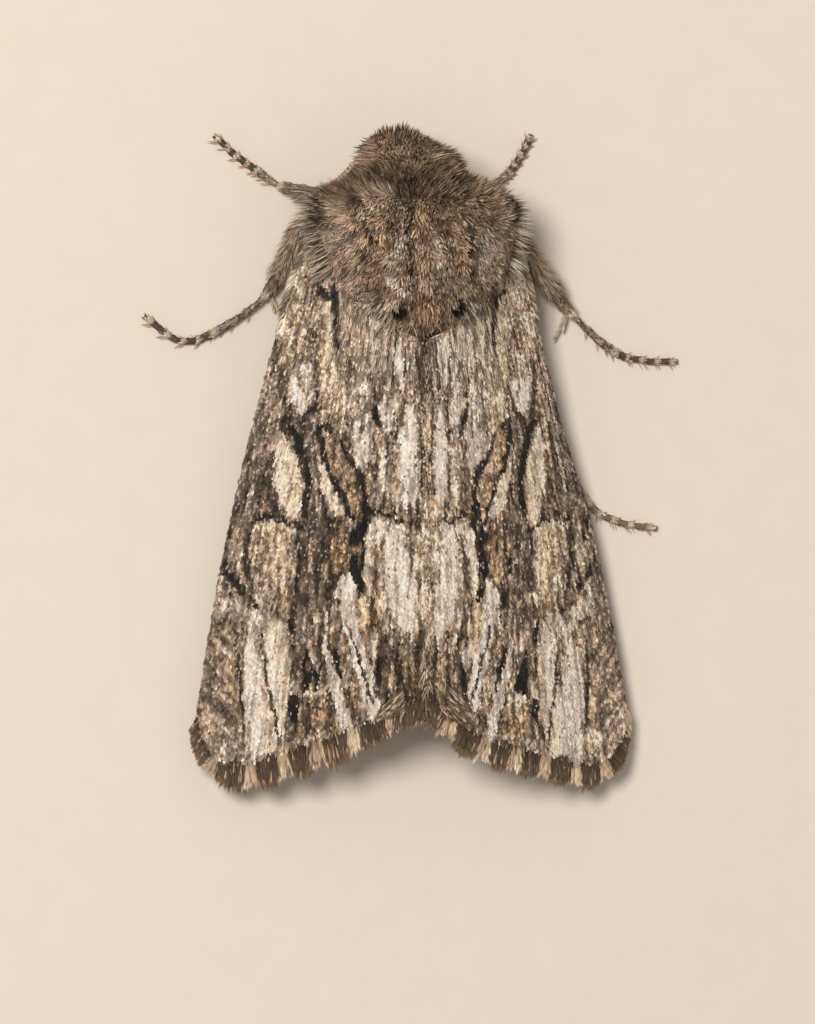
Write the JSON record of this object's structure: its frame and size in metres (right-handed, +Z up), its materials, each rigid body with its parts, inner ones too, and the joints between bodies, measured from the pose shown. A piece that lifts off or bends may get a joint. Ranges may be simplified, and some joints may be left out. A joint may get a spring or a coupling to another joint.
{
  "type": "owlet moth at rest",
  "caption": "Still, life-size owlet moth at rest: grey-brown marbled forewings folded like a roof, furry thorax, banded legs spread on the floor.",
  "frame": {"origin": "on the floor, under the middle of the whole moth", "axes": "+Z up, -Y the way the head points, +Y towards the wing ends, +X the moth's left"},
  "size_m": [0.0164, 0.02, 0.0053],
  "materials": {
    "body_scales": "matte hair-like scales, mottled brown, tan and grey",
    "forewing_scales": "fine overlapping scales with a slight sparkle, marbled grey, white, ochre and black",
    "hindwing_scales": "thin satin scales, plain grey-brown, darker at the edge",
    "leg_scales": "matte scales, dark brown and cream bands",
    "eye": "dark glossy compound eye with fine facets"
  },
  "bodies": {
    "root": {"head": "body_scales", "thorax": "body_scales", "abdomen": "body_scales", "palp_left": "body_scales", "palp_right": "body_scales", "eye_left": "eye", "eye_right": "eye", "feeler_left": "leg_scales", "feeler_right": "leg_scales", "forewing_left": "forewing_scales", "forewing_right": "forewing_scales", "hindwing_left": "hindwing_scales", "hindwing_right": "hindwing_scales", "foreleg_left": "leg_scales", "foreleg_right": "leg_scales", "midleg_left": "leg_scales", "midleg_right": "leg_scales", "hindleg_left": "leg_scales", "hindleg_right": "leg_scales"}
  },
  "joints": []
}
